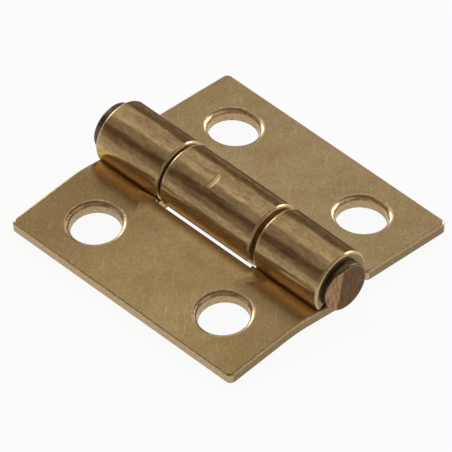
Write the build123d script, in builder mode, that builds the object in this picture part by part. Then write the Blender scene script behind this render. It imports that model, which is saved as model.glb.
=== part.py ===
from build123d import *

import os
from math import acos, asin, atan2, cos, degrees, hypot, radians, sin, sqrt, tan

# Narrow butt hinge, millimetres. It lies open on a surface: the underside of the barrel and the outer
# edges of both leaves touch z = 0. +X runs along the pin, +Y towards the leaf with one knuckle.

# Leaves: stamped sheet, one either side of the pin.
leaf_length = 25.4          # along the pin
leaf_reach = 12.7           # pin axis to the leaf's outer edge
sheet = 1.1                 # thickness of the sheet
axis_rise = 0.85            # pin axis above the leaf's top face
corner_r = 0.55             # leaf corners, seen from above
edge_round = 0.27           # rolled edges of the stamping

# Screw holes, two in each leaf.
hole_spacing = 14.76        # centre to centre along the pin
hole_reach = 8.13           # pin axis to the hole's centre
hole_r = 2.13               # bore
hole_round = 0.54           # the hole's upper edge is rolled over to this radius
rim_slope = 8               # angle at which that edge meets the leaf's top

# Pin, fixed in the middle knuckle and headed at both ends.
pin_r = 1.76
pin_clearance = 0.04        # between the pin and the bores of the knuckles
head_lip = 0.44             # the head stands this far out past the pin
head_thickness = 0.7
head_round = 0.22           # rounded rim of the head
head_gap = 0.05             # between a head and the barrel, where they are closest
crop_reach = 0.8            # the +X head is cropped aslant beyond this distance from the pin's axis
crop_turn = 11              # turn of that edge about the pin, from upright
crop_slope = 15

# Knuckles: strips of the leaf that dip below it, pass under the pin and curl back over it.
tongue_length = 10.3        # middle knuckle
knuckle_gap = 0.34          # between neighbouring knuckles, with both leaves in line
slide = 0.1                 # the front leaf sits this far towards +X within that end play
notch_clearance = 0.26      # between a leaf's cut edge and the other leaf's knuckle
bend_reach = 5.2            # pin axis to the line where a strip starts to dip
bend_r = 12.0               # radius of that bend, on both faces of the sheet
root_flat = 0.3             # flat end of a strip, where it joins the leaf
seam_gap = 0.04             # between the curled end of the strip and the strip below it
seam_round = 0.12           # rounded corners of that curled end
gusset_length = 2.4         # along the pin, where the flat leaf slopes down into a strip
gusset_foot = 8             # angle at which that slope meets the strip
gusset_gap = 0.1            # between that slope and the curl

# Stake: a shallow dent across the middle knuckle that locks the pin.
stake_x = -0.8
stake_angle = 17            # its middle, from the top of the barrel towards the front leaf
stake_width = 0.55
stake_depth = 0.1

# Sizes that follow from those above.
bore_r = pin_r + pin_clearance
knuckle_r = bore_r + sheet
leaf_drop = axis_rise + sheet               # pin axis above the leaf's bottom face
axis_z = knuckle_r                          # the barrel touches the surface below it
half_length = leaf_length / 2
half_tongue = tongue_length / 2
half_notch = half_tongue + knuckle_gap
notch_reach = knuckle_r + notch_clearance
head_r = pin_r + head_lip
head_seat = half_length + slide + head_gap  # middle of the pin to the underside of a head
stake_r = (stake_width ** 2 / 4 + stake_depth ** 2) / (2 * stake_depth)

# Each leaf droops until its outer lower edge is level with the underside of the barrel.
droop = degrees(asin(knuckle_r / hypot(leaf_reach, leaf_drop)) - atan2(leaf_drop, leaf_reach))

# The ramp of a strip leaves the bend and runs tangent to the underside of the knuckle.
ramp = 90 - degrees(atan2(leaf_drop, bend_reach) + acos(knuckle_r / hypot(bend_reach, leaf_drop)))
bend_top = (bore_r - axis_rise * cos(radians(ramp))) / sin(radians(ramp))
bend_half = bend_r * tan(radians(ramp / 2))
strip_root = bend_reach + bend_half + root_flat  # pin axis to where a strip joins the flat leaf
seam_angle = degrees(asin((bore_r - seam_gap) / knuckle_r)) - ramp
curl = 270 + ramp + seam_angle              # how far the strip goes round the pin

gusset_reach = sqrt((knuckle_r + gusset_gap) ** 2 - axis_rise ** 2)

# Where the front leaf's knuckles and notch lie along the pin.
notch_far, notch_near = slide - half_notch, slide + half_notch
front_strips = [(slide - half_length, notch_far), (notch_near, slide + half_length)]
hole_ways = (-hole_spacing / 2, hole_spacing / 2)

FRONT, REAR = -1, 1


def section_plane(side, x):
    """Plane across the pin at x: local x runs out along the leaf, local y up from it, origin on the pin."""
    out = (0, side * cos(radians(droop)), -sin(radians(droop)))
    return Plane(origin=(x, 0, axis_z), x_dir=out, z_dir=(side, 0, 0))


def top_plane(side, x):
    """Plane of the leaf's top face: local x runs out along the leaf, the origin lies below the pin at x."""
    section = section_plane(side, x)
    under_pin = section.from_local_coords((0, -axis_rise, 0))
    return Plane(origin=under_pin, x_dir=section.x_dir, z_dir=section.y_dir)


def radial_plane(side, angle):
    """Plane through the pin: local x runs along it, local y out from it, at an angle from the leaf."""
    section = section_plane(side, 0)
    out = section.from_local_coords((cos(radians(angle)), sin(radians(angle)), 0)) - section.origin
    return Plane(origin=section.origin, x_dir=(1, 0, 0), z_dir=Vector(1, 0, 0).cross(out))


def pin_axis(side):
    """Axis of the pin, pointing the way that turns a leaf's ramp up round the curl."""
    return Axis((0, 0, axis_z), (-side, 0, 0))


def strip_section(plane):
    """Section of a knuckle: the strip's root in the leaf, its dip, and the curl round the pin."""
    with BuildSketch(plane) as section:
        with BuildLine():
            outer = CenterArc((0, 0), knuckle_r, ramp - 90, -curl)
            inner = CenterArc((0, 0), bore_r, ramp - 90, -curl)
            Line(outer @ 1, inner @ 1)
            FilletPolyline(outer @ 0, (bend_reach, -leaf_drop), (strip_root, -leaf_drop), radius=bend_r)
            Line((strip_root, -leaf_drop), (strip_root, -axis_rise))
            FilletPolyline((strip_root, -axis_rise), (bend_top, -axis_rise), inner @ 0, radius=bend_r)
        make_face()
        fillet([section.vertices().sort_by_distance(arc @ 1)[0] for arc in (outer, inner)], seam_round)
    return section.sketch


def ramp_height(reach, face_r):
    """Height of a strip's sloping face above the pin axis, for the face tangent to radius face_r."""
    return (reach * sin(radians(ramp)) - face_r) / cos(radians(ramp))


def gusset(side, x, strip_way):
    """Sections of the slope beside a strip's side at x: an S curve across the strip, and its far point."""
    section = section_plane(side, x)
    foot = ramp_height(gusset_reach, bore_r)
    across = Plane(origin=section.from_local_coords((gusset_reach, 0, 0)), x_dir=(strip_way, 0, 0),
                   z_dir=section.x_dir * (-side * strip_way))
    with BuildSketch(across) as slope:
        with BuildLine():
            curve = Spline((0, -axis_rise), (gusset_length, foot),
                           tangents=((1, 0), (cos(radians(gusset_foot)), -sin(radians(gusset_foot)))))
            Polyline(curve @ 1, (0, foot), curve @ 0)
        make_face()
    return [slope.sketch.face(), Vertex(section.from_local_coords((bend_top + bend_half, -axis_rise, 0)))]


def rim_section(side, ends):
    """What the rounded rims take off the knuckle's ends: for each end its x and the way it faces."""
    with BuildSketch(radial_plane(side, ramp - 90)) as corners:
        for x, facing in ends:
            with Locations((x - facing * edge_round, knuckle_r - edge_round)):
                Rectangle(2 * edge_round, 2 * edge_round,
                          align=(Align.MIN if facing > 0 else Align.MAX, Align.MIN))
                Circle(edge_round, mode=Mode.SUBTRACT)
    return corners.sketch


def hole_plane(side, x):
    """Plane through a hole's axis at x: local x runs out along the leaf, local y up, origin in its rim."""
    top = top_plane(side, x)
    return Plane(origin=top.from_local_coords((hole_reach, 0, 0)), x_dir=top.x_dir, z_dir=top.y_dir * -1)


def hole_section(plane):
    """Half section of a screw hole: the bore and its rolled upper edge."""
    with BuildSketch(plane) as section:
        with BuildLine():
            rolled = CenterArc((hole_r + hole_round, -hole_round * cos(radians(rim_slope))), hole_round,
                               180, rim_slope - 90)
            rim, foot = rolled @ 1, rolled @ 0
            Polyline(rim, (rim.X, sheet), (0, sheet), (0, -2 * sheet), (hole_r, -2 * sheet), foot)
        make_face()
    return section.sketch


def crop_plane():
    """Plane that crops the +X head aslant, on the side of the front leaf."""
    turn, slope = radians(crop_turn), radians(crop_slope)
    across = Vector(0, -cos(turn), sin(turn))
    on_face = Vector(head_seat + head_thickness, 0, axis_z) + across * crop_reach
    return Plane(origin=on_face, z_dir=Vector(cos(slope), 0, 0) + across * sin(slope))


def end_arcs(leaf):
    """Outer rims of the knuckles, grouped from the -X end to the +X end."""
    rims = leaf.edges().filter_by(GeomType.CIRCLE).filter_by(lambda edge: abs(edge.radius - knuckle_r) < 1e-4)
    return rims.group_by(Axis.X)


with BuildPart() as two_knuckle_leaf:
    with BuildSketch(top_plane(FRONT, slide)) as plate:
        with Locations((strip_root, 0)):
            Rectangle(leaf_reach - strip_root, leaf_length, align=(Align.MIN, Align.CENTER))
        fillet(plate.vertices().group_by(SortBy.DISTANCE)[-1], corner_r)
        with Locations((notch_reach, 0)):
            Rectangle(strip_root - notch_reach, 2 * half_notch, align=(Align.MIN, Align.CENTER))
    extrude(amount=-sheet)
    for low, high in front_strips:
        extrude(strip_section(section_plane(FRONT, high)), amount=high - low)
    rims = end_arcs(two_knuckle_leaf)
    fillet(rims[0] + rims[-1], edge_round)
    revolve(rim_section(FRONT, [(notch_far, 1), (notch_near, -1)]), axis=pin_axis(FRONT),
            revolution_arc=curl, mode=Mode.SUBTRACT)
    for x, strip_way in ((notch_far, -1), (notch_near, 1)):
        loft(gusset(FRONT, x, strip_way))
    for way in hole_ways:
        plane = hole_plane(FRONT, slide + way)
        revolve(hole_section(plane), axis=Axis(plane.origin, plane.y_dir), mode=Mode.SUBTRACT)

with BuildPart() as one_knuckle_leaf:
    with BuildSketch(top_plane(REAR, 0)) as plate:
        with Locations((notch_reach, 0)):
            Rectangle(leaf_reach - notch_reach, leaf_length, align=(Align.MIN, Align.CENTER))
        fillet(plate.vertices(), corner_r)
        Rectangle(strip_root, tongue_length, align=(Align.MIN, Align.CENTER), mode=Mode.SUBTRACT)
    extrude(amount=-sheet)
    plate_ends = one_knuckle_leaf.faces().filter_by(Axis.X).group_by(Axis.X)
    long_edges = (plate_ends[0].edges() + plate_ends[-1].edges()).group_by(SortBy.LENGTH)[-1]
    fillet(long_edges, edge_round)
    extrude(strip_section(section_plane(REAR, -half_tongue)), amount=tongue_length)
    revolve(rim_section(REAR, [(-half_tongue, -1), (half_tongue, 1)]), axis=pin_axis(REAR),
            revolution_arc=curl, mode=Mode.SUBTRACT)
    for x, strip_way in ((-half_tongue, 1), (half_tongue, -1)):
        loft(gusset(REAR, x, strip_way))
    with BuildSketch(radial_plane(REAR, 90 + droop + stake_angle)):
        with Locations((stake_x, knuckle_r + stake_r - stake_depth)):
            Circle(stake_r)
    extrude(amount=knuckle_r, both=True, mode=Mode.SUBTRACT)
    for way in hole_ways:
        plane = hole_plane(REAR, way)
        revolve(hole_section(plane), axis=Axis(plane.origin, plane.y_dir), mode=Mode.SUBTRACT)

with BuildPart() as hinge_pin:
    with BuildSketch(Plane.YZ.offset(-head_seat)):
        with Locations((0, axis_z)):
            Circle(pin_r)
    extrude(amount=2 * head_seat)
    for way in (-1, 1):
        with BuildSketch(Plane.YZ.offset(way * head_seat)):
            with Locations((0, axis_z)):
                Circle(head_r)
        extrude(amount=way * head_thickness)
    head_faces = hinge_pin.faces().filter_by(Axis.X).sort_by(Axis.X)
    fillet(head_faces[0].edges() + head_faces[-1].edges(), head_round)
    split(bisect_by=crop_plane(), keep=Keep.BOTTOM)

two_knuckle_leaf.part.label = "two_knuckle_leaf"
one_knuckle_leaf.part.label = "one_knuckle_leaf"
hinge_pin.part.label = "hinge_pin"

os.makedirs("parts", exist_ok=True)
export_step(two_knuckle_leaf.part, "parts/two_knuckle_leaf.step")
export_step(one_knuckle_leaf.part, "parts/one_knuckle_leaf.step")
export_step(hinge_pin.part, "parts/hinge_pin.step")
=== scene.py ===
"""Looks of a narrow butt hinge: plated brass leaves, a headed pin, a pale floor and soft light."""
import logging
import math
from dataclasses import dataclass, field
from enum import Enum
from typing import Any

import bpy
import numpy as np
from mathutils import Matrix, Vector


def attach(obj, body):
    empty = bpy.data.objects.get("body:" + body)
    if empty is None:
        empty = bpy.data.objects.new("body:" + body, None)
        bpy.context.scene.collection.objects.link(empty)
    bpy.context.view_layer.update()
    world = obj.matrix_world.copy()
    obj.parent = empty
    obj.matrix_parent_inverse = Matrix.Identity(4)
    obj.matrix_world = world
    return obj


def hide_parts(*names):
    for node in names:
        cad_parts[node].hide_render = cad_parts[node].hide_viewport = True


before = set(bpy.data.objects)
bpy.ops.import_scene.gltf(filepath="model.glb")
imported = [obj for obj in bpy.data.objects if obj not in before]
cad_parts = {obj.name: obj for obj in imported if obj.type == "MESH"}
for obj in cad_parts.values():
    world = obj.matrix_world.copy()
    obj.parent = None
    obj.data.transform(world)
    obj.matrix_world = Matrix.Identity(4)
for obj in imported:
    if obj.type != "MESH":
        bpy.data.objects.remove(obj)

LOG = logging.getLogger("hinge")
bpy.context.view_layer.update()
MM = 0.001
TINY = 1e-30
PHOTO_SIDE_PX = 452
PIN_HEIGHT_MM = 2.9
ZONE_ATTRIBUTE = "zone"
NOISE_MIDDLE = 0.5
WHITE = "#ffffff"

Tree = bpy.types.NodeTree
Socket = bpy.types.NodeSocket


class Blend(Enum):
    """What a mix node blends; the value is its data type, its two inputs' places and its output's."""

    COLOUR = ("RGBA", 6, 7, 2)
    NUMBER = ("FLOAT", 2, 3, 0)


class SheetZone(Enum):
    """Worked zones of the stamped sheet, the rest being flat; the value is the attribute's channel."""

    BARREL = 0
    CUT = 1
    EDGE = 2
    END = 3


class PinZone(Enum):
    """Worked zones of the pin, the rest being its torn end; the value is the attribute's channel."""

    FACET = 0
    SIDE = 1
    SHANK = 2


class PanelShape(Enum):
    """Outline of a lamp's panel; the value is the share of its width times height that it fills."""

    RECTANGLE = 1.0
    DISK = math.pi / 4


def linear(colour: str) -> tuple[float, float, float, float]:
    """Turns an sRGB hex colour into linear RGBA, by the sRGB standard's curve.

    Args:
        colour: six hex digits, with or without a leading hash.

    Returns:
        Red, green, blue and an alpha of 1.
    """
    digits = colour.lstrip("#")
    srgb = np.array([int(digits[i:i + 2], 16) for i in (0, 2, 4)]) / 255
    low, high = srgb / 12.92, ((srgb + 0.055) / 1.055) ** 2.4
    return (*np.where(srgb <= 0.04045, low, high).tolist(), 1.0)


def add_node(tree: Tree, kind: str, links: dict[str | int, Any] | None = None,
             **settings: Any) -> bpy.types.Node:
    """Adds one node, sets it up and links what feeds it.

    Args:
        tree: the node tree that the node goes into.
        kind: the node's type name in Blender.
        links: input name or place, to an output socket that feeds it or a value that it holds.
        **settings: properties of the node itself.

    Returns:
        The new node.
    """
    node = tree.nodes.new(kind)
    for name, value in settings.items():
        setattr(node, name, value)
    for name, value in (links or {}).items():
        if isinstance(value, Socket):
            tree.links.new(value, node.inputs[name])
        else:
            node.inputs[name].default_value = value
    return node


def pick(tree: Tree, blend: Blend, rest: Any, masks: tuple[tuple[Socket, Any], ...]) -> Socket:
    """Chooses a value by mask, a later mask over an earlier one.

    Args:
        tree: the material's node tree.
        blend: whether colours or numbers are chosen.
        rest: the value where no mask is set, or a socket that gives it.
        masks: each mask with the value there.

    Returns:
        The socket that holds the chosen value.
    """
    data_type, first, second, out = blend.value
    chosen = rest
    for mask, value in masks:
        mix = add_node(tree, "ShaderNodeMix", {0: mask, first: chosen, second: value},
                       data_type=data_type)
        chosen = mix.outputs[out]
    return chosen


def mottled(tree: Tree, colour: Socket, grain: Socket, share: Socket | float) -> Socket:
    """Lightens and darkens a colour with a grain: the colour times 1 + share x (grain - 0.5).

    Args:
        tree: the material's node tree.
        colour: the colour to vary.
        grain: noise, about 0.5 on average.
        share: how strongly the grain shows.

    Returns:
        The varied colour.
    """
    centred = add_node(tree, "ShaderNodeMath", {0: grain, 1: NOISE_MIDDLE}, operation="SUBTRACT")
    level = add_node(tree, "ShaderNodeMath", {0: centred.outputs["Value"], 1: share, 2: 1.0},
                     operation="MULTIPLY_ADD")
    varied = add_node(tree, "ShaderNodeHueSaturation", {
        "Color": colour,
        "Value": level.outputs["Value"]})
    return varied.outputs["Color"]


def zone_masks(tree: Tree, zones: type[Enum]) -> tuple[Socket, ...]:
    """Reads a piece's zones from its attribute.

    Args:
        tree: the material's node tree.
        zones: the piece's kinds of zone.

    Returns:
        A mask for each kind of zone, in their order.
    """
    zone = add_node(tree, "ShaderNodeAttribute", attribute_name=ZONE_ATTRIBUTE)
    split = add_node(tree, "ShaderNodeSeparateColor", {"Color": zone.outputs["Color"]})
    channels = (*split.outputs, zone.outputs["Alpha"])
    return tuple(channels[kind.value] for kind in zones)


def new_material(name: str) -> bpy.types.Material:
    """Makes a material with an empty node tree.

    Args:
        name: the material's name.

    Returns:
        The material.
    """
    made = bpy.data.materials.new(name)
    made.use_nodes = True
    made.node_tree.nodes.clear()
    return made


@dataclass(frozen=True)
class Pattern:
    """Noise of a real size along X, which is the pin's direction, and along Y and Z.

    The span is the range of the noise over which the pattern's mask rises from nothing to its most.
    """

    size_mm: tuple[float, float, float]
    detail: float
    roughness: float = 0.7
    span: tuple[float, float] = (0.0, 1.0)

    def noise(self, tree: Tree, place: Socket) -> Socket:
        """Adds the noise: object coordinates over the pattern's size give it its scale.

        Args:
            tree: the material's node tree.
            place: object coordinates in metres.

        Returns:
            The noise, about 0.5 on average.
        """
        scale = tuple(1 / (size * MM) for size in self.size_mm)
        scaled = add_node(tree, "ShaderNodeVectorMath", {0: place, 1: scale}, operation="MULTIPLY")
        made = add_node(tree, "ShaderNodeTexNoise", {
            "Vector": scaled.outputs["Vector"],
            "Scale": 1.0,
            "Detail": self.detail,
            "Roughness": self.roughness})
        return made.outputs["Fac"]

    def mask(self, tree: Tree, place: Socket, most: float = 1.0) -> Socket:
        """Adds the noise and stretches its span.

        Args:
            tree: the material's node tree.
            place: object coordinates in metres.
            most: the mask's most.

        Returns:
            The mask.
        """
        start, stop = self.span
        made = add_node(tree, "ShaderNodeMapRange", {
            "Value": self.noise(tree, place),
            "From Min": start,
            "From Max": stop,
            "To Max": most})
        return made.outputs["Result"]


@dataclass(frozen=True)
class PlatedBrass:
    """Brass-plated steel sheet, stamped, curled and tumbled.

    The eye sees a warm grey-gold metal whose flats blur what they reflect, with cloudy tarnish a few
    millimetres wide, a fine speckle, a few hairline scratches and a browner tone where it is handled.
    The barrel is glossier, streaked, blotched and a little wavy along the pin. The sheet beside it is
    rubbed smoother, and the seam between them is glossier and painted a lighter orange, as painted
    light for the light bounced between barrel and sheet. The rolled edges are burnished and the cut
    faces dull; the end faces are darker, as painted shade for a dimmer reflection than the floor gives.
    """

    name: str
    colour: str = "#ab9771"
    tarnish: str = "#9d885f"
    handled_colour: str = "#8a734b"
    scratch_colour: str = "#cdb98f"
    barrel_colour: str = "#a48e66"
    barrel_tarnish: str = "#8e7553"
    # Painted light: the seam is a lighter orange that stands in for light bounced between barrel and
    # sheet.
    seam_bounce_light_colour: str = "#e2be82"
    cut_colour: str = "#baa37d"
    edge_colour: str = "#c0a983"
    # Painted shade: the end faces are darkened to stand in for a dimmer reflection than the white floor
    # gives.
    end_shade_colour: str = "#8a7550"
    grazing: str = "#4c4845"

    flat_roughness: float = 0.42
    polished_roughness: float = 0.31
    barrel_roughness: float = 0.2
    seam_roughness: float = 0.14
    cut_roughness: float = 0.4
    edge_roughness: float = 0.3
    metal_share: float = 0.78
    specular_level: float = 0.1

    # Where along the leaf handling has browned it, and how much.
    handled_middle_mm: float = 0.0
    handled_mm: tuple[float, float] = (3.0, 12.7)
    handled_share: float = 0.2

    # Round the barrel, and near the pin beside it, where the seam gets painted bounce light and gloss.
    seam_turn_deg: tuple[float, float] = (62.0, 100.0)
    seam_reach_mm: tuple[float, float] = (5.2, 2.9)
    # Share of the seam's painted bounce light and gloss on the sheet beside the barrel.
    beside_share: float = 0.5
    polished_reach_mm: tuple[float, float] = (5.6, 4.4)

    # Speckle and scratches are finer on the real sheet, and this coarse so that they show.
    clouds: Pattern = Pattern((3.0, 3.0, 3.0), 4.0, span=(0.35, 0.7))
    speckle: Pattern = Pattern((0.22, 0.22, 0.22), 2.0)
    scratches: Pattern = Pattern((22.0, 0.13, 0.13), 0.0, span=(0.72, 0.78))
    streaks: Pattern = Pattern((0.65, 0.28, 0.28), 6.0)
    blotches: Pattern = Pattern((2.4, 0.7, 0.7), 4.0, span=(0.4, 0.65))
    waves: Pattern = Pattern((4.0, 1.4, 1.4), 1.0)
    scratch_turn_deg: float = 50.0
    scratch_share: float = 0.25
    speckle_share: float = 0.8
    streak_share: float = 1.5
    edge_share: float = 1.2

    peel_depth_mm: float = 0.004
    wave_depth_mm: float = 0.08
    barrel_uneven: float = 0.6
    seam_uneven: float = 0.15

    def material(self) -> bpy.types.Material:
        """Makes the node material.

        Returns:
            The material, ready to assign.
        """
        made = new_material(self.name)
        tree = made.node_tree
        place = add_node(tree, "ShaderNodeTexCoord").outputs["Object"]
        barrel, cut, edge, end = zone_masks(tree, SheetZone)
        seam_light_and_gloss = self.seam_mask(tree, place, barrel)
        polished = self.nearness(tree, place, self.polished_reach_mm)
        colour = pick(tree, Blend.COLOUR, self.flat_colour(tree, place), (
            (barrel, self.curl_colour(tree, place)),
            # Painted light: the seam's lighter orange.
            (seam_light_and_gloss, linear(self.seam_bounce_light_colour)),
            (cut, linear(self.cut_colour)),
            (edge, linear(self.edge_colour)),
            # Painted shade: the end faces' darker colour.
            (end, linear(self.end_shade_colour))))
        grain = pick(tree, Blend.NUMBER, self.speckle.noise(tree, place), (
            (barrel, self.streaks.noise(tree, place)),))
        share = pick(tree, Blend.NUMBER, self.speckle_share, (
            (barrel, self.streak_share),
            (edge, self.edge_share),
            (cut, self.edge_share)))
        rough = pick(tree, Blend.NUMBER, self.flat_roughness, (
            (polished, self.polished_roughness),
            (barrel, self.barrel_roughness),
            (seam_light_and_gloss, self.seam_roughness),
            (cut, self.cut_roughness),
            (edge, self.edge_roughness)))
        grazing = pick(tree, Blend.COLOUR, linear(WHITE), ((barrel, linear(self.grazing)),))
        shader = add_node(tree, "ShaderNodeBsdfPrincipled", {
            "Base Color": mottled(tree, colour, grain, share),
            "Metallic": self.metal_share,
            "Roughness": rough,
            "Specular IOR Level": self.specular_level,
            "Specular Tint": grazing,
            "Normal": self.unevenness(tree, place, barrel, seam_light_and_gloss, grain)})
        add_node(tree, "ShaderNodeOutputMaterial", {"Surface": shader.outputs["BSDF"]})
        return made

    def flat_colour(self, tree: Tree, place: Socket) -> Socket:
        """The flats' colour: clouded with tarnish, browner where handled, and scratched aslant.

        Args:
            tree: the material's node tree.
            place: object coordinates in metres.

        Returns:
            The colour.
        """
        turn = (0.0, 0.0, math.radians(self.scratch_turn_deg))
        turned = add_node(tree, "ShaderNodeMapping", {"Vector": place, "Rotation": turn})
        scratched = self.scratches.mask(tree, turned.outputs["Vector"], self.scratch_share)
        return pick(tree, Blend.COLOUR, linear(self.colour), (
            (self.clouds.mask(tree, place), linear(self.tarnish)),
            (self.handling(tree, place), linear(self.handled_colour)),
            (scratched, linear(self.scratch_colour))))

    def curl_colour(self, tree: Tree, place: Socket) -> Socket:
        """The barrel's colour, blotched with tarnish.

        Args:
            tree: the material's node tree.
            place: object coordinates in metres.

        Returns:
            The colour.
        """
        return pick(tree, Blend.COLOUR, linear(self.barrel_colour), (
            (self.blotches.mask(tree, place), linear(self.barrel_tarnish)),))

    def unevenness(self, tree: Tree, place: Socket, barrel: Socket, seam_light_and_gloss: Socket,
                   grain: Socket) -> Socket:
        """Bumps: the grain as a fine orange peel, and longer waves on the barrel alone.

        Args:
            tree: the material's node tree.
            place: object coordinates in metres.
            barrel: the barrel's mask.
            seam_light_and_gloss: the seam's mask, which also carries its painted bounce light.
            grain: the speckle of the flats and the streaks of the barrel.

        Returns:
            The bumped normal.
        """
        uneven = pick(tree, Blend.NUMBER, 1.0, (
            (barrel, self.barrel_uneven),
            (seam_light_and_gloss, self.seam_uneven)))
        wavy = add_node(tree, "ShaderNodeMath", {0: barrel, 1: uneven}, operation="MULTIPLY")
        peel = add_node(tree, "ShaderNodeBump", {
            "Height": grain,
            "Strength": uneven,
            "Distance": self.peel_depth_mm * MM})
        bump = add_node(tree, "ShaderNodeBump", {
            "Height": self.waves.noise(tree, place),
            "Strength": wavy.outputs["Value"],
            "Distance": self.wave_depth_mm * MM,
            "Normal": peel.outputs["Normal"]})
        return bump.outputs["Normal"]

    def handling(self, tree: Tree, place: Socket) -> Socket:
        """How far handling has browned each place: more with the distance from the clean middle.

        Args:
            tree: the material's node tree.
            place: object coordinates in metres.

        Returns:
            A mask that rises to the handled share.
        """
        part = add_node(tree, "ShaderNodeSeparateXYZ", {"Vector": place})
        offset = add_node(tree, "ShaderNodeMath", {
            0: part.outputs["X"],
            1: self.handled_middle_mm * MM}, operation="SUBTRACT")
        along = add_node(tree, "ShaderNodeMath", {0: offset.outputs["Value"]}, operation="ABSOLUTE")
        start, stop = (distance * MM for distance in self.handled_mm)
        made = add_node(tree, "ShaderNodeMapRange", {
            "Value": along.outputs["Value"],
            "From Min": start,
            "From Max": stop,
            "To Max": self.handled_share})
        return made.outputs["Result"]

    def nearness(self, tree: Tree, place: Socket, reach_mm: tuple[float, float],
                 most: float = 1.0) -> Socket:
        """How near each place is to the pin: nothing at the first reach, the most at the second.

        Args:
            tree: the material's node tree.
            place: object coordinates in metres.
            reach_mm: distances from the pin's axis between which the mask rises.
            most: the mask's most.

        Returns:
            The mask.
        """
        axis = (0.0, 0.0, PIN_HEIGHT_MM * MM)
        offset = add_node(tree, "ShaderNodeVectorMath", {0: place, 1: axis}, operation="SUBTRACT")
        across = add_node(tree, "ShaderNodeVectorMath", {
            0: offset.outputs["Vector"],
            1: (0.0, 1.0, 1.0)}, operation="MULTIPLY")
        radius = add_node(tree, "ShaderNodeVectorMath", {0: across.outputs["Vector"]},
                          operation="LENGTH")
        outer, inner = (reach * MM for reach in reach_mm)
        made = add_node(tree, "ShaderNodeMapRange", {
            "Value": radius.outputs["Value"],
            "From Min": outer,
            "From Max": inner,
            "To Max": most}, interpolation_type="SMOOTHSTEP")
        return made.outputs["Result"]

    def seam_mask(self, tree: Tree, place: Socket, barrel: Socket) -> Socket:
        """Mask of the seam's painted bounce light and gloss: by turn from the top on the barrel, else
        nearness.

        Args:
            tree: the material's node tree.
            place: object coordinates in metres.
            barrel: the barrel's mask.

        Returns:
            A mask, 1 in the seam.
        """
        part = add_node(tree, "ShaderNodeSeparateXYZ", {"Vector": place})
        height = add_node(tree, "ShaderNodeMath", {
            0: part.outputs["Z"],
            1: PIN_HEIGHT_MM * MM}, operation="SUBTRACT")
        reach = add_node(tree, "ShaderNodeMath", {0: part.outputs["Y"]}, operation="ABSOLUTE")
        turn = add_node(tree, "ShaderNodeMath", {
            0: reach.outputs["Value"],
            1: height.outputs["Value"]}, operation="ARCTAN2")
        start, stop = (math.radians(degrees) for degrees in self.seam_turn_deg)
        below = add_node(tree, "ShaderNodeMapRange", {
            "Value": turn.outputs["Value"],
            "From Min": start,
            "From Max": stop}, interpolation_type="SMOOTHSTEP")
        beside = self.nearness(tree, place, self.seam_reach_mm, self.beside_share)
        return pick(tree, Blend.NUMBER, beside, ((barrel, below.outputs["Result"]),))


@dataclass(frozen=True)
class CroppedWire:
    """Copper-washed steel wire, cropped and headed.

    The eye sees a browner metal than the sheet's, with dark streaks across its torn end and a lighter
    facet where the crop began, partly its sheared zone and partly painted light for the facet's
    brighter shading. The head's side is darker, as painted shade for the shadow between head and
    barrel.
    """

    name: str = "cropped_wire"
    colour: str = "#5d3f22"
    # Partly the sheared zone's lighter tone, partly painted light for the tilted facet's brighter
    # shading.
    facet_sheared_and_lit_colour: str = "#917250"
    # Painted shade: the head's side is darkened for the shadow between the head and the barrel's end.
    side_shade_colour: str = "#5e5140"
    shank_colour: str = "#b98a50"
    roughness: float = 0.4
    tears: Pattern = Pattern((0.8, 0.2, 0.8), 3.0, roughness=0.5)
    tear_share: float = 2.2
    tear_depth_mm: float = 0.006

    def material(self) -> bpy.types.Material:
        """Makes the node material.

        Returns:
            The material, ready to assign.
        """
        made = new_material(self.name)
        tree = made.node_tree
        place = add_node(tree, "ShaderNodeTexCoord").outputs["Object"]
        facet, side, shank = zone_masks(tree, PinZone)
        torn = self.tears.noise(tree, place)
        colour = pick(tree, Blend.COLOUR, linear(self.colour), (
            # Partly painted light on the facet.
            (facet, linear(self.facet_sheared_and_lit_colour)),
            # Painted shade on the head's side.
            (side, linear(self.side_shade_colour)),
            (shank, linear(self.shank_colour))))
        bump = add_node(tree, "ShaderNodeBump", {
            "Height": torn,
            "Strength": 1.0,
            "Distance": self.tear_depth_mm * MM})
        shader = add_node(tree, "ShaderNodeBsdfPrincipled", {
            "Base Color": mottled(tree, colour, torn, self.tear_share),
            "Metallic": 1.0,
            "Roughness": self.roughness,
            "Normal": bump.outputs["Normal"]})
        add_node(tree, "ShaderNodeOutputMaterial", {"Surface": shader.outputs["BSDF"]})
        return made


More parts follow.
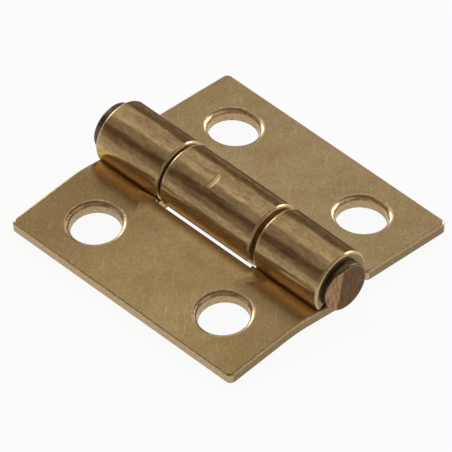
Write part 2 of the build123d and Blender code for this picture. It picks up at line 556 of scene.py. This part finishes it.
@dataclass
class Skin:
    """A node's surface as arrays: welded points, triangles, and a normal at each triangle's corner."""

    points: np.ndarray
    triangles: np.ndarray
    crease_deg: float = 28.0
    weld_mm: float = 0.0005
    corner_normals: np.ndarray = field(init=False)
    face_normals: np.ndarray = field(init=False)

    def __post_init__(self) -> None:
        """Welds the points, drops triangles with no area and works out the normals."""
        keys = np.round(self.points / (self.weld_mm * MM)).astype(np.int64)
        _, first, place = np.unique(keys, axis=0, return_index=True, return_inverse=True)
        self.points = self.points[first]
        self.triangles = place.reshape(-1)[self.triangles]
        a, b, c = (self.triangles[:, i] for i in range(3))
        self.triangles = self.triangles[(a != b) & (b != c) & (c != a)]
        self.face_normals, area = self.flat_normals()
        self.corner_normals = self.smooth_normals(area)

    @classmethod
    def of_node(cls, node: str) -> "Skin":
        """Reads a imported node's triangles.

        Args:
            node: the node's name.

        Returns:
            The skin of that node, in metres.
        """
        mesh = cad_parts[node].data
        points = np.empty(len(mesh.vertices) * 3)
        mesh.vertices.foreach_get("co", points)
        mesh.calc_loop_triangles()
        triangles = np.empty(len(mesh.loop_triangles) * 3, np.int64)
        mesh.loop_triangles.foreach_get("vertices", triangles)
        return cls(points.reshape(-1, 3), triangles.reshape(-1, 3))

    def middles_mm(self) -> np.ndarray:
        """Middle of each triangle in millimetres, the mean of its three corners."""
        return self.points[self.triangles].mean(axis=1) / MM

    def flat_normals(self) -> tuple[np.ndarray, np.ndarray]:
        """Works out each triangle's normal and area from the cross product of two of its sides.

        Returns:
            One unit normal and one area for each triangle.
        """
        a, b, c = (self.points[self.triangles[:, i]] for i in range(3))
        cross = np.cross(b - a, c - a)
        length = np.linalg.norm(cross, axis=1)
        return cross / np.maximum(length, TINY)[:, None], length / 2

    def smooth_normals(self, area: np.ndarray) -> np.ndarray:
        """Works out the normal at each corner.

        It is the mean, by area, of the normals round the corner's point that lie within the crease
        angle of the corner's own triangle.

        Args:
            area: area of each triangle.

        Returns:
            One unit normal for each corner, triangle by triangle.
        """
        corner_point = self.triangles.reshape(-1)
        order = np.argsort(corner_point, kind="stable")
        counts = np.bincount(corner_point, minlength=len(self.points))
        starts = np.concatenate([[0], np.cumsum(counts)[:-1]])
        fans = counts[corner_point]
        mine = np.repeat(np.arange(len(corner_point)), fans)
        step = np.arange(fans.sum()) - np.repeat(np.cumsum(fans) - fans, fans)
        other_face = order[starts[corner_point[mine]] + step] // 3
        normals = self.face_normals
        likeness = np.einsum("ij,ij->i", normals[mine // 3], normals[other_face])
        near = likeness > math.cos(math.radians(self.crease_deg))
        total = np.zeros((len(corner_point), 3))
        np.add.at(total, mine[near], normals[other_face[near]] * area[other_face[near]][:, None])
        return total / np.maximum(np.linalg.norm(total, axis=1), TINY)[:, None]

    def to_object(self, name: str, zones: np.ndarray) -> bpy.types.Object:
        """Puts the arrays into a mesh object.

        Args:
            name: the piece's name.
            zones: one RGBA value for each triangle, kept as the zone attribute.

        Returns:
            The new object, in the scene.
        """
        mesh = bpy.data.meshes.new(name)
        mesh.from_pydata(self.points.tolist(), [], self.triangles.tolist())
        mesh.shade_smooth()
        attribute = mesh.attributes.new(ZONE_ATTRIBUTE, "FLOAT_COLOR", "FACE")
        attribute.data.foreach_set("color", zones.astype(np.float32).ravel())
        mesh.normals_split_custom_set(self.corner_normals.tolist())
        piece = bpy.data.objects.new(name, mesh)
        bpy.context.scene.collection.objects.link(piece)
        return piece


@dataclass
class HingePiece:
    """A piece of the hinge: a node's surface in a finish, on the body that it moves with."""

    node: str
    body: str
    slot: str
    finish: PlatedBrass | CroppedWire

    def worked(self, skin: Skin) -> dict[Enum, np.ndarray]:
        """Sorts the piece's triangles into its worked zones.

        Args:
            skin: the piece's surface.

        Returns:
            For each zone, whether each triangle lies in it.
        """
        raise NotImplementedError

    def build(self) -> bpy.types.Object:
        """Makes the piece's skin, dresses it and hangs it on its body.

        Returns:
            The finished piece.
        """
        skin = Skin.of_node(self.node)
        zones = np.zeros((len(skin.triangles), 4))
        for zone, inside in self.worked(skin).items():
            zones[:, zone.value] = inside
        piece = skin.to_object(self.node + "_skin", zones)
        piece.data.materials.append(self.finish.material())
        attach(piece, self.body)
        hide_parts(self.node)
        return piece


@dataclass
class HingeLeaf(HingePiece):
    """One stamped leaf with its curled knuckles."""

    knuckle_r_mm: float = 2.9
    curl_slack_mm: tuple[float, float] = (0.2, 0.1)
    half_length_mm: float = 12.7
    outer_reach_mm: float = 12.6
    hole_mm: tuple[float, float] = (7.38, 8.13)
    hole_rim_mm: float = 2.8
    edge_mm: float = 0.4
    cut_from_mm: float = 4.6

    # Limits on a triangle's unit normal: its part away from the pin, along it, and upright.
    barrel_outward: float = 0.9
    barrel_along: float = 0.05
    end_along: float = 0.97
    tilted_along: float = 0.08
    level_up: float = 0.95
    cut_up: float = 0.2

    def worked(self, skin: Skin) -> dict[Enum, np.ndarray]:
        """Sorts the leaf's triangles into its worked zones.

        A triangle belongs to the barrel where its middle lies on the knuckle's outer radius and it
        faces away from the pin. It belongs to an end where it faces along the pin, at the leaf's ends
        or beside the barrel, and to a cut where it is square to the sheet elsewhere. It belongs to an
        edge where it is tilted and lies on the leaf's outline, a hole's rim or a knuckle.

        Args:
            skin: the leaf's surface.

        Returns:
            For each zone, whether each triangle lies in it.
        """
        middle = skin.middles_mm()
        radial = middle[:, 1:] - np.array((0.0, PIN_HEIGHT_MM))
        radius = np.linalg.norm(radial, axis=1)
        away = radial / np.maximum(radius, TINY)[:, None]
        outward = np.einsum("ij,ij->i", skin.face_normals[:, 1:], away)
        along, up = np.abs(skin.face_normals[:, 0]), np.abs(skin.face_normals[:, 2])
        x, y = np.abs(middle[:, 0]), np.abs(middle[:, 1])
        under, over = self.curl_slack_mm
        curled = radius < self.knuckle_r_mm + over
        at_end = x > self.half_length_mm - self.edge_mm
        in_hole = np.hypot(x - self.hole_mm[0], y - self.hole_mm[1]) < self.hole_rim_mm
        outline = at_end | in_hole | curled | (y > self.outer_reach_mm - self.edge_mm)
        on_curl = curled & (radius > self.knuckle_r_mm - under)
        barrel = on_curl & (outward > self.barrel_outward) & (along < self.barrel_along)
        beside = ~curled & (radius < self.cut_from_mm)
        end = (along > self.end_along) & (at_end | beside)
        cut = ~curled & ~beside & ~end & (up < self.cut_up)
        leaning = along > self.tilted_along
        tilted = np.where(curled, leaning & (along < self.end_along), leaning | (up < self.level_up))
        edge = outline & tilted & ~barrel & ~cut & ~end
        return {SheetZone.BARREL: barrel, SheetZone.CUT: cut, SheetZone.EDGE: edge, SheetZone.END: end}


@dataclass
class HingePin(HingePiece):
    """The headed pin."""

    end_mm: float = 12.7
    facet_lean: tuple[float, float] = (0.9, 0.99)

    def worked(self, skin: Skin) -> dict[Enum, np.ndarray]:
        """Sorts the pin's triangles into its worked zones.

        What lies past the barrel's ends is a head. There, a triangle that leans a little from the pin's
        direction belongs to the crop's facet, and one that leans more to the head's side.

        Args:
            skin: the pin's surface.

        Returns:
            For each zone, whether each triangle lies in it.
        """
        headed = np.abs(skin.middles_mm()[:, 0]) > self.end_mm
        along = skin.face_normals[:, 0]
        low, high = self.facet_lean
        facet = headed & (along > low) & (along < high)
        side = headed & (along <= low)
        return {PinZone.FACET: facet, PinZone.SIDE: side, PinZone.SHANK: ~headed}


@dataclass(frozen=True)
class SoftPanel:
    """A soft studio lamp: a panel that faces the hinge from one direction."""

    name: str
    towards: tuple[float, float, float]
    distance_m: float
    size_m: tuple[float, float]
    radiance: float
    shape: PanelShape = PanelShape.RECTANGLE
    watts_per_m2: float = 4.0

    def build(self) -> bpy.types.Object:
        """Adds the lamp to the scene, its power being radiance times area times watts per square metre.

        Returns:
            The lamp.
        """
        lamp = bpy.data.lights.new(self.name, "AREA")
        lamp.shape = self.shape.name
        lamp.size, lamp.size_y = self.size_m
        area = self.size_m[0] * self.size_m[1] * self.shape.value
        lamp.energy = self.watts_per_m2 * self.radiance * area
        made = bpy.data.objects.new(self.name, lamp)
        direction = Vector(self.towards).normalized()
        made.location = direction * self.distance_m
        made.rotation_mode = "QUATERNION"
        made.rotation_quaternion = direction.to_track_quat("Z", "Y")
        bpy.context.scene.collection.objects.link(made)
        return made


@dataclass
class Studio:
    """Pale floor, dim surroundings and soft panels."""

    panels: tuple[SoftPanel, ...]
    world_colour: str = "#69563f"
    floor_colour: str = "#f2f1ee"
    floor_half_m: float = 3.0
    white_share: float = 0.93

    def build(self) -> None:
        """Adds the floor, the world and the lamps."""
        self.floor()
        self.world()
        for panel in self.panels:
            panel.build()

    def floor(self) -> bpy.types.Object:
        """Makes the floor, a square at the height that the hinge lies on.

        Returns:
            The floor.
        """
        mesh = bpy.data.meshes.new("floor")
        corners = np.array([[-1, -1, 0], [1, -1, 0], [1, 1, 0], [-1, 1, 0]]) * self.floor_half_m
        mesh.from_pydata(corners.tolist(), [], [[0, 1, 2, 3]])
        mesh.materials.append(self.floor_material())
        made = bpy.data.objects.new("floor", mesh)
        bpy.context.scene.collection.objects.link(made)
        return made

    def floor_material(self) -> bpy.types.Material:
        """Pale matt board that the camera and the metal see nearly white, with a faint shadow.

        Returns:
            The material, ready to assign.
        """
        made = new_material("pale_board")
        tree = made.node_tree
        path = add_node(tree, "ShaderNodeLightPath")
        seen = path.outputs["Is Camera Ray"]
        for ray in ("Is Glossy Ray", "Is Transmission Ray"):
            either = add_node(tree, "ShaderNodeMath", {0: seen, 1: path.outputs[ray]},
                              operation="MAXIMUM")
            seen = either.outputs["Value"]
        share = add_node(tree, "ShaderNodeMath", {0: seen, 1: self.white_share}, operation="MULTIPLY")
        board = add_node(tree, "ShaderNodeBsdfDiffuse", {"Color": linear(self.floor_colour)})
        white = add_node(tree, "ShaderNodeEmission", {"Strength": 1.0})
        mix = add_node(tree, "ShaderNodeMixShader", {
            "Fac": share.outputs["Value"],
            1: board.outputs["BSDF"],
            2: white.outputs["Emission"]})
        add_node(tree, "ShaderNodeOutputMaterial", {"Surface": mix.outputs["Shader"]})
        return made

    def world(self) -> None:
        """Gives the scene dim, even surroundings."""
        made = bpy.data.worlds.new("studio")
        made.use_nodes = True
        tree = made.node_tree
        tree.nodes.clear()
        level = add_node(tree, "ShaderNodeBackground", {"Color": linear(self.world_colour)})
        add_node(tree, "ShaderNodeOutputWorld", {"Surface": level.outputs["Background"]})
        bpy.context.scene.world = made


@dataclass
class PhotoCamera:
    """Camera at the photograph's angle, found from the hinge's outlines."""

    azimuth_deg: float = 45.02
    elevation_deg: float = 43.96
    distance_mm: float = 588.0
    focal_px: float = 7226.96
    pivot_mm: tuple[float, float, float] = (0.0, 0.0, PIN_HEIGHT_MM)
    right_mm: float = -0.197
    up_mm: float = -1.683
    sensor_mm: float = 36.0

    def build(self) -> bpy.types.Object:
        """Adds the camera and makes it the scene's own.

        Returns:
            The camera.
        """
        azimuth, elevation = math.radians(self.azimuth_deg), math.radians(self.elevation_deg)
        level = math.cos(elevation)
        back = Vector((math.sin(azimuth) * level, -math.cos(azimuth) * level, math.sin(elevation)))
        right = Vector((math.cos(azimuth), math.sin(azimuth), 0.0))
        up = back.cross(right)
        aim = Vector(self.pivot_mm) + right * self.right_mm + up * self.up_mm
        data = bpy.data.cameras.new("photo_camera")
        data.sensor_width = self.sensor_mm
        data.lens = self.focal_px / PHOTO_SIDE_PX * self.sensor_mm
        made = bpy.data.objects.new("photo_camera", data)
        made.location = (aim + back * self.distance_mm) * MM
        made.rotation_mode = "QUATERNION"
        made.rotation_quaternion = back.to_track_quat("Z", "Y")
        bpy.context.scene.collection.objects.link(made)
        bpy.context.scene.camera = made
        return made


def main() -> None:
    """Builds the hinge's looks, the studio and the camera."""
    logging.basicConfig(level=logging.INFO)
    bpy.context.scene.view_settings.view_transform = "Standard"
    front_brass = PlatedBrass("front_brass", colour="#b09b6f", tarnish="#9f875b", handled_share=0.8,
                              handled_middle_mm=3.0)
    rear_brass = PlatedBrass("rear_brass", seam_reach_mm=(3.2, 2.9))
    assemblies = (
        HingeLeaf("two_knuckle_leaf", "front_leaf", "leaf_brass", front_brass),
        HingeLeaf("one_knuckle_leaf", "rear_leaf", "leaf_brass", rear_brass),
        HingePin("hinge_pin", "rear_leaf", "pin_metal", CroppedWire()),
    )
    for assembly in assemblies:
        piece = assembly.build()
        LOG.info("%s: %d triangles", piece.name, len(piece.data.polygons))
    panels = (
        SoftPanel("right_card", (0.8, 0.3, 0.5), 0.9, (0.7, 0.7), 0.5),
        SoftPanel("back_softbox", (-0.57, 0.367, 0.735), 0.8, (0.82, 0.82), 0.66, PanelShape.DISK),
        SoftPanel("softbox_fade", (-0.509, -0.2, 0.83), 0.8, (0.6, 0.6), 0.34, PanelShape.DISK),
        SoftPanel("left_front_card", (-0.52, -0.82, 0.2), 0.9, (0.8, 0.4), 0.26),
        SoftPanel("left_front_table", (-0.52, -0.82, 0.05), 0.9, (0.8, 0.16), 0.4),
        SoftPanel("left_strip", (-0.94, 0.15, 0.27), 0.9, (0.4, 0.35), 6.0),
        SoftPanel("back_strip", (0.1, 0.93, 0.36), 0.9, (0.75, 0.35), 4.5),
        SoftPanel("camera_fill", (0.55, -0.6, 0.5), 0.9, (0.8, 0.7), 0.2),
    )
    Studio(panels).build()
    PhotoCamera().build()


if __name__ == "__main__":
    main()
